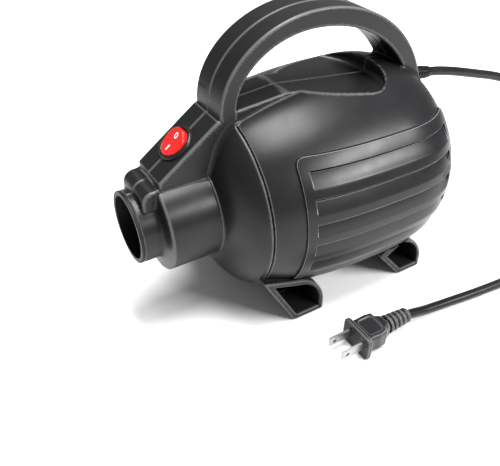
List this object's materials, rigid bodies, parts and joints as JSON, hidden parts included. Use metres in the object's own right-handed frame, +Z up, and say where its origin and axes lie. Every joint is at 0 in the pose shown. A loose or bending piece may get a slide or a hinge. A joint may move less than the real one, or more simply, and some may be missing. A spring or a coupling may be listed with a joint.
{
  "type": "electric air mattress pump",
  "caption": "Mains blower with an egg-shaped clamshell body, stepped outlet tube, loop handle, round rocker switch, louvred sides and a fixed cord with a two-blade plug.",
  "frame": {"origin": "on the floor, midway between the outlet rim and the tail, under the body's axis", "axes": "+Z up, +X from the outlet towards the tail, +Y to the right side of the pump"},
  "size_m": [0.4331, 0.1796, 0.1865],
  "materials": {
    "housing_plastic": "moulded black plastic with a soft satin sheen",
    "panel_plastic": "satin black plastic",
    "duct_plastic": "smooth black plastic",
    "foot_plastic": "matt black plastic",
    "screw_steel": "zinc plated",
    "bezel_plastic": "semi gloss black plastic",
    "rocker_red": "glossy red plastic with white marks",
    "terminal_brass": "stamped brass",
    "impeller_plastic": "natural nylon",
    "shaft_steel": "ground steel",
    "core_steel": "laminated electrical steel",
    "copper": "varnished copper",
    "can_steel": "zinc plated drawn steel",
    "magnet_ferrite": "grey ferrite",
    "end_bell_plastic": "glass filled nylon",
    "bush_bronze": "sintered bronze",
    "carbon": "dull carbon",
    "mount_rubber": "soft black rubber",
    "board_green": "solder mask on glass fibre board",
    "component_black": "moulded component cases",
    "lead_insulation": "vinyl insulation",
    "cord_rubber": "satin black vinyl",
    "tie_fabric": "woven hook and loop strap",
    "plug_plastic": "moulded black vinyl",
    "blade_nickel": "nickel plated brass"
  },
  "bodies": {
    "housing": {"left_housing": "housing_plastic", "right_housing": "housing_plastic", "housing_screws": "screw_steel", "outlet_duct": "duct_plastic", "left_vent_panel": "panel_plastic", "right_vent_panel": "panel_plastic", "front_foot": "foot_plastic", "rear_foot": "foot_plastic", "foot_screws": "screw_steel", "switch_bezel": "bezel_plastic", "switch_terminals": "terminal_brass", "fan_casing": "duct_plastic", "guide_vane_ring": "duct_plastic", "motor_can": "can_steel", "motor_magnets": "magnet_ferrite", "motor_end_bell": "end_bell_plastic", "front_bush": "bush_bronze", "rear_bush": "bush_bronze", "brush_holders": "terminal_brass", "carbon_brushes": "carbon", "brush_springs": "shaft_steel", "front_motor_mount": "mount_rubber", "rear_motor_mount": "mount_rubber", "rectifier_board": "board_green", "board_components": "component_black", "board_screws": "screw_steel", "switch_leads": "lead_insulation", "motor_leads": "lead_insulation", "cord_clamp": "end_bell_plastic", "clamp_screws": "screw_steel", "strain_relief": "cord_rubber", "cord_inside": "cord_rubber", "cord_from_handle": "cord_rubber", "cord_coil": "cord_rubber", "coil_tie": "tie_fabric", "cord_to_plug": "cord_rubber", "plug_body": "plug_plastic", "plug_blades": "blade_nickel"},
    "rotor": {"impeller": "impeller_plastic", "impeller_nut": "terminal_brass", "motor_shaft": "shaft_steel", "armature_core": "core_steel", "armature_windings": "copper", "commutator": "copper"},
    "rocker": {"switch_rocker": "rocker_red"}
  },
  "joints": [
    {"name": "rotor_spin", "type": "hinge", "parent": "housing", "child": "rotor", "pos_m": [0.02, 0, 0.075], "axis": [1, 0, 0], "continuous": true},
    {"name": "switch_rock", "type": "hinge", "parent": "housing", "child": "rocker", "pos_m": [-0.07639, 0, 0.12135], "axis": [0, 1, 0], "range_deg": [0, 18]}
  ]
}
